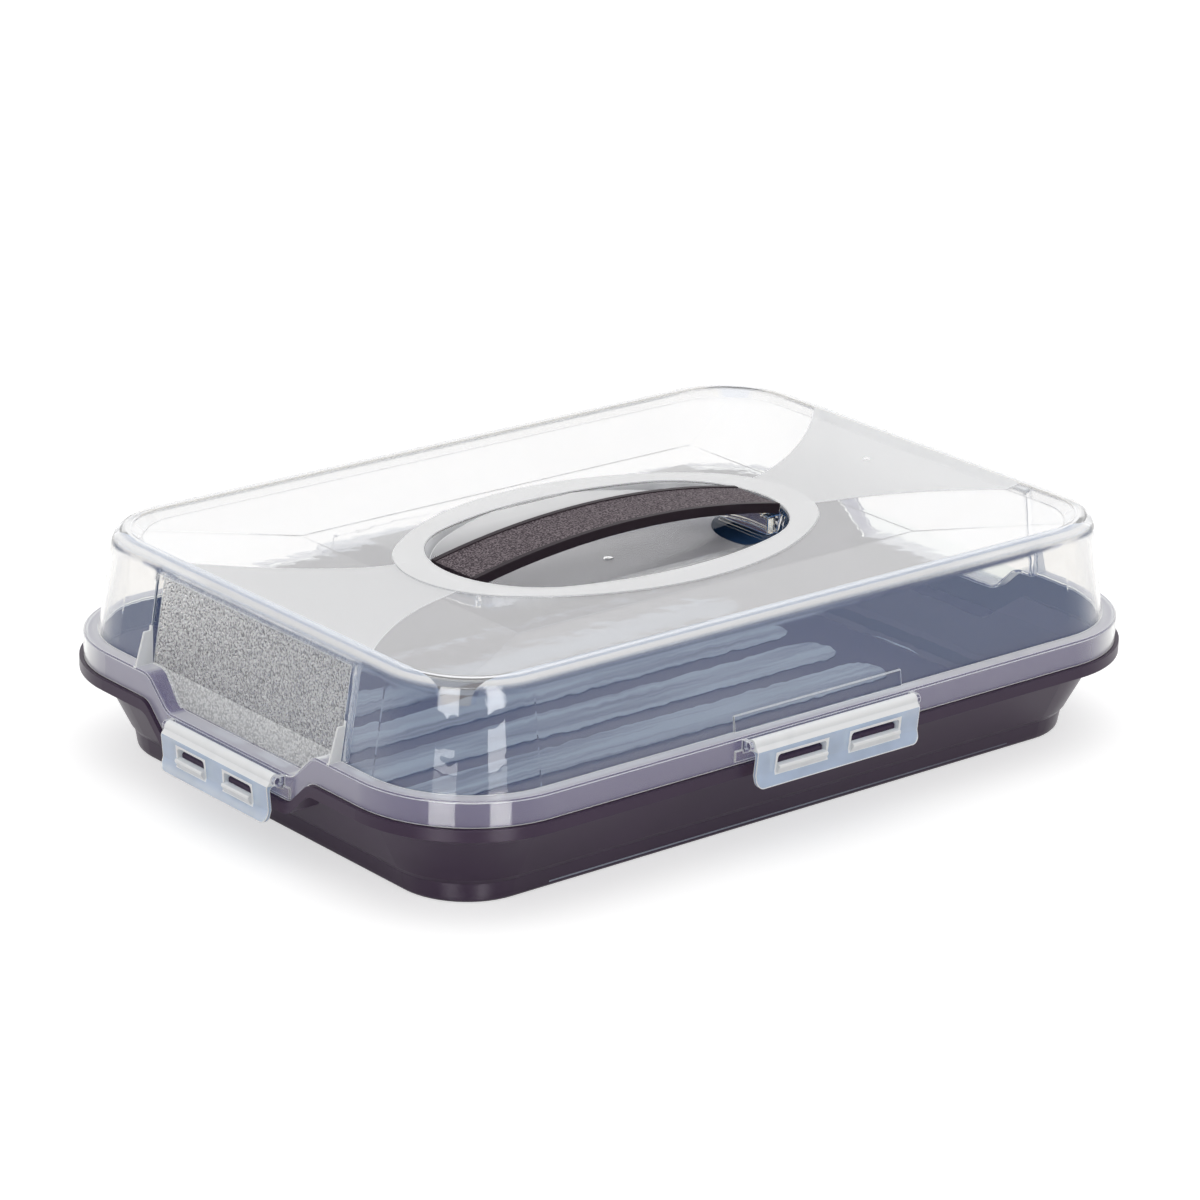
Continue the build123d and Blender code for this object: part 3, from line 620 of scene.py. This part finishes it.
def strap_polypropylene(settings):
    """Aubergine polypropylene with an etched leather-like grain on top: matt and greyer, with glossy
    borders."""
    material, tree = new_material("grained_aubergine_polypropylene")
    place, _, _, y = places(tree)
    half = STRAP_HIGH.y - settings.border
    within = add(tree, "MapRange", {"Value": y, "From Min": half + 0.1 * MM, "From Max": half - 0.1 * MM})
    up = add(tree, "SeparateXYZ", {0: add(tree, "NewGeometry").outputs["True Normal"]}).outputs["Z"]
    panel = combine(tree, "MULTIPLY", within.outputs[0], region(tree, (up, 0.6, None)))
    cells = add(tree, "TexVoronoi", {"Vector": place, "Scale": 1 / settings.grain}, feature="SMOOTH_F1")
    speck = add(tree, "TexNoise", {"Vector": place, "Scale": 1.4 / settings.grain, "Detail": 3.0})
    height = combine(tree, "ADD", cells.outputs["Distance"], speck.outputs["Fac"])
    grain = add(tree, "Bump", {"Height": height, "Strength": panel, "Distance": 0.35 * MM})
    amount = add(tree, "MapRange", {"Value": speck.outputs["Fac"], "From Min": 0.46, "From Max": 0.60,
                                    "To Min": 0.12, "To Max": 1.0})
    mixed = combine(tree, "MULTIPLY", amount.outputs[0], panel)
    colour = add(tree, "MixRGB", {0: mixed, 1: settings.colour, 2: settings.grain_colour})
    rounded = add(tree, "Bevel", {"Radius": 0.5 * MM, "Normal": grain.outputs[0]}, samples=ROUND_SAMPLES)
    plastic = add(tree, "BsdfPrincipled", {"Base Color": colour.outputs[0],
                                           "Roughness": plus(tree, 0.42, (panel, 0.18)),
                                           "IOR": PLASTIC_IOR, "Specular IOR Level": 0.15,
                                           "Normal": rounded.outputs[0]})
    add(tree, "OutputMaterial", {"Surface": plastic.outputs[0]})
    return material


# ---------------------------------------------------------------- pieces

class DressTray(bpy.types.Operator):
    """Gives the tray its aubergine plastic"""
    bl_idname = "carrier.tray"
    bl_label = "Tray"

    def execute(self, context):
        dress("base_tray", tray_polypropylene(context.scene.carrier_tray))
        return {"FINISHED"}


class DressHood(bpy.types.Operator):
    """Gives the hood its clear plastic with the frosted fields and the pebbled end panel"""
    bl_idname = "carrier.hood"
    bl_label = "Hood"

    def execute(self, context):
        dress("hood", hood_polypropylene(context.scene.carrier_hood))
        return {"FINISHED"}


class DressHandle(bpy.types.Operator):
    """Gives the strap handle its grained plastic"""
    bl_idname = "carrier.handle"
    bl_label = "Handle"

    def execute(self, context):
        dress("carry_handle", strap_polypropylene(context.scene.carrier_handle))
        return {"FINISHED"}


class DressClips(bpy.types.Operator):
    """Gives the four clips their milky plastic"""
    bl_idname = "carrier.clips"
    bl_label = "Clips"

    def execute(self, context):
        plastic = clip_polypropylene(context.scene.carrier_clips)
        for side in ("front", "back", "left", "right"):
            dress(f"clip_{side}", plastic)
        return {"FINISHED"}


def button(name, place, normal, diameter, height, material):
    """A low round mark with a dished middle, as a gate or an ejector pin leaves."""
    bm = bmesh.new()
    previous = None
    for share, level in MARK_RINGS:
        reach = share * diameter / 2
        turns = [2 * math.pi * i / MARK_STEPS for i in range(MARK_STEPS if share else 1)]
        ring = [bm.verts.new((reach * math.cos(turn), reach * math.sin(turn), level * height))
                for turn in turns]
        if previous:
            for i in range(MARK_STEPS):
                j = (i + 1) % MARK_STEPS
                below = [previous[0]] if len(previous) == 1 else [previous[i], previous[j]]
                bm.faces.new(below + [ring[j], ring[i]])
        previous = ring
    bm.normal_update()
    turn = Vector((0, 0, 1)).rotation_difference(normal).to_matrix().to_4x4()
    bm.transform(Matrix.Translation(place) @ turn)
    mesh_object(name, bm, material, "hood")


class MakeMarks(bpy.types.Operator):
    """Adds the gate mark in the well and the ejector mark on the top"""
    bl_idname = "carrier.marks"
    bl_label = "Moulding marks"

    def execute(self, context):
        marks = context.scene.carrier_marks
        material = frame["nodes"]["hood"].material_slots[0].material
        place, normal = on_hood(0.0, 0.0, UNDER_STRAP)
        button("gate_mark", place, normal, marks.gate_diameter, marks.gate_height, material)
        place, normal = on_hood(*marks.pin_place, OVER_HOOD)
        button("pin_mark", place, normal, marks.pin_diameter, marks.gate_height / 2, material)
        return {"FINISHED"}


def step_row(bm, settings, reach, along, across):
    """Three points across the step of a frosted field, at that distance from the middle."""
    d = reach - settings.neck_reach
    width = settings.neck + settings.spread * d + settings.flare * d * d
    place, normal = on_hood(along * reach, across * width, OVER_HOOD)
    onward = Vector((along, across * (settings.spread + 2 * settings.flare * d), 0)).normalized()
    side = normal.cross(onward).normalized() * settings.edge_width / 2
    return [bm.verts.new(point) for point in (place + side - normal * STEP_SUNK,
                                              place + normal * STEP_PROUD,
                                              place - side - normal * STEP_SUNK)]


class MakeFrostEdges(bpy.types.Operator):
    """Adds the fine step that bounds the frosted fields of the top"""
    bl_idname = "carrier.frost_edges"
    bl_label = "Frost edges"

    def execute(self, context):
        settings = context.scene.carrier_hood
        material = frame["nodes"]["hood"].material_slots[0].material
        first = settings.neck_reach - STEP_START
        for name, along, across in (("right_back", 1, 1), ("right_front", 1, -1),
                                    ("left_back", -1, 1), ("left_front", -1, -1)):
            bm = bmesh.new()
            rows = [step_row(bm, settings, first + (FIELD_END_X - first) * i / STEP_PARTS, along, across)
                    for i in range(STEP_PARTS + 1)]
            for a, b in zip(rows, rows[1:]):
                for i in range(2):
                    bm.faces.new((a[i], a[i + 1], b[i + 1], b[i]))
            bmesh.ops.recalc_face_normals(bm, faces=bm.faces)
            mesh_object(f"frost_edge_{name}", bm, material, "hood")
        return {"FINISHED"}


# ---------------------------------------------------------------- stage

def painted_floor(settings):
    """Matt white paint, rolled: even and pale, brought up to white wherever it's seen."""
    material, tree = new_material("matt_floor_paint")
    place = add(tree, "TexCoord").outputs["Object"]
    mottle = add(tree, "TexNoise", {"Vector": place, "Scale": 1 / FLOOR_MOTTLE, "Detail": 2.0})
    value = add(tree, "MapRange", {"Value": mottle.outputs["Fac"], "To Min": 0.995, "To Max": 1.005})
    colour = add(tree, "HueSaturation", {"Color": settings.floor_colour, "Value": value.outputs[0]})
    paint = add(tree, "BsdfDiffuse", {"Color": colour.outputs[0]})
    glow = add(tree, "Emission", {"Color": WHITE, "Strength": settings.floor_lift})
    both = add(tree, "AddShader", {0: paint.outputs[0], 1: glow.outputs[0]})
    ray = add(tree, "LightPath").outputs
    seen = combine(tree, "MAXIMUM", ray["Is Camera Ray"], ray["Is Transmission Ray"])
    seen = add(tree, "MixShader", {0: seen, 1: paint.outputs[0], 2: both.outputs[0]})
    # in reflections the paint's own sheen shows the softboxes again
    sheen = add(tree, "BsdfGlossy", {"Color": WHITE, "Roughness": 0.05})
    mirror = add(tree, "MixShader", {0: 0.45, 1: both.outputs[0], 2: sheen.outputs[0]})
    surface = add(tree, "MixShader", {0: ray["Is Glossy Ray"], 1: seen.outputs[0], 2: mirror.outputs[0]})
    add(tree, "OutputMaterial", {"Surface": surface.outputs[0]})
    return material


def light_room(scene, settings):
    """White room: even light on the carrier, white behind it, darker towards the camera in reflections."""
    world = bpy.data.worlds.new("white_room")
    world.use_nodes = True
    tree = world.node_tree
    tree.nodes.clear()
    direction = add(tree, "TexCoord").outputs["Generated"]
    # the dark side lies towards the camera and downwards
    axis = (math.sin(settings.azimuth), -math.cos(settings.azimuth), -0.9)
    towards = add(tree, "VectorMath", {0: direction, 1: axis}, operation="DOT_PRODUCT")
    mirrored = add(tree, "MapRange", {"Value": towards.outputs["Value"], "From Min": -0.25,
                                      "From Max": 0.45, "To Min": 1.0, "To Max": settings.front_shade},
                   interpolation_type="SMOOTHSTEP")
    ray = add(tree, "LightPath").outputs
    shown = combine(tree, "MAXIMUM", ray["Is Camera Ray"], ray["Is Transmission Ray"])
    glossy = add(tree, "Mix", {0: ray["Is Glossy Ray"], 2: settings.sky_light, 3: mirrored.outputs["Result"]})
    strength = add(tree, "Mix", {0: shown, 2: glossy.outputs[0], 3: 1.0})
    back = add(tree, "Background", {"Color": WHITE, "Strength": strength.outputs[0]})
    add(tree, "OutputWorld", {"Surface": back.outputs[0]})
    scene.world = world


def softbox(name, place, target, size, power, reflections_only=False):
    """A rectangular softbox aimed at a point, unseen itself."""
    data = bpy.data.lights.new(name, "AREA")
    data.shape = "RECTANGLE"
    data.size, data.size_y = size
    data.energy = power
    box = bpy.data.objects.new(name, data)
    box.location = place
    box.rotation_mode = "QUATERNION"
    box.rotation_quaternion = (Vector(target) - Vector(place)).to_track_quat("-Z", "Y")
    box.visible_camera = False
    box.visible_transmission = False
    box.visible_diffuse = not reflections_only
    bpy.context.scene.collection.objects.link(box)


def strip_boxes(settings):
    """The tall strip boxes, each in parts one over another, seen only in reflections."""
    x, y = STRIP_CORNER
    for name, (turn, width, parts) in STRIPS.items():
        angle = math.radians(turn)
        away = Vector((x + STRIP_REACH * math.sin(angle), y + STRIP_REACH * math.cos(angle)))
        for i, (low, high, share) in enumerate(parts):
            middle, height = (low + high) / 2, high - low
            softbox(f"{name}_{i}", (*away, middle), (x, y, middle), (width, height),
                    settings.strip_power * share * height, True)


def place_camera(scene, settings):
    """The camera, turned around the target and rolled about its own view."""
    azimuth, elevation, roll = settings.azimuth, settings.elevation, settings.roll
    back = Vector((math.sin(azimuth) * math.cos(elevation), -math.cos(azimuth) * math.cos(elevation),
                   math.sin(elevation)))
    right = (-back).cross(Vector((0, 0, 1))).normalized()
    up = right.cross(-back)
    right, up = (math.cos(roll) * right + math.sin(roll) * up,
                 -math.sin(roll) * right + math.cos(roll) * up)
    data = bpy.data.cameras.new("camera")
    data.lens = settings.lens
    data.sensor_width = 36.0
    data.clip_start, data.clip_end = 0.05, 50.0
    camera = bpy.data.objects.new("camera", data)
    turned = Matrix((right, up, back)).transposed().to_4x4()
    camera.matrix_world = Matrix.Translation(Vector(settings.target) + back * settings.distance) @ turned
    scene.collection.objects.link(camera)
    scene.camera = camera


class MakeStage(bpy.types.Operator):
    """Adds the floor, the white room, the softboxes and the camera"""
    bl_idname = "carrier.stage"
    bl_label = "Stage"

    def execute(self, context):
        scene = context.scene
        settings = scene.carrier_stage
        scene.view_settings.view_transform = "Standard"
        bm = bmesh.new()
        bmesh.ops.create_grid(bm, x_segments=4, y_segments=4, size=settings.floor_size / 2)
        mesh = bpy.data.meshes.new("floor")
        bm.to_mesh(mesh)
        bm.free()
        mesh.materials.append(painted_floor(settings))
        floor = bpy.data.objects.new("floor", mesh)
        scene.collection.objects.link(floor)
        light_room(scene, settings)
        softbox("overhead_box", OVERHEAD_PLACE, (0, 0, 0), OVERHEAD_SIZE, settings.top_power)
        strip_boxes(settings)
        place_camera(scene, settings)
        return {"FINISHED"}


class CarrierPanel(bpy.types.Panel):
    """Lists the carrier's pieces and their settings"""
    bl_idname = "VIEW3D_PT_carrier"
    bl_label = "Cake carrier"
    bl_space_type = "VIEW_3D"
    bl_region_type = "UI"
    bl_category = "Cake carrier"

    def draw(self, context):
        for operator in OPERATORS:
            self.layout.operator(operator.bl_idname)
        for name, group in SETTINGS.items():
            column = self.layout.column()
            for prop in group.__annotations__:
                column.prop(getattr(context.scene, name), prop)


OPERATORS = (DressTray, DressHood, DressHandle, DressClips, MakeMarks, MakeFrostEdges, MakeStage)


def register():
    for name, group in SETTINGS.items():
        bpy.utils.register_class(group)
        setattr(bpy.types.Scene, name, bpy.props.PointerProperty(type=group))
    for cls in OPERATORS + (CarrierPanel,):
        bpy.utils.register_class(cls)


def unregister():
    for cls in reversed(OPERATORS + (CarrierPanel,)):
        bpy.utils.unregister_class(cls)
    for name, group in SETTINGS.items():
        delattr(bpy.types.Scene, name)
        bpy.utils.unregister_class(group)


def main():
    register()
    for operator in OPERATORS:
        group, call = operator.bl_idname.split(".")
        getattr(getattr(bpy.ops, group), call)()


if __name__ == "__main__":
    main()
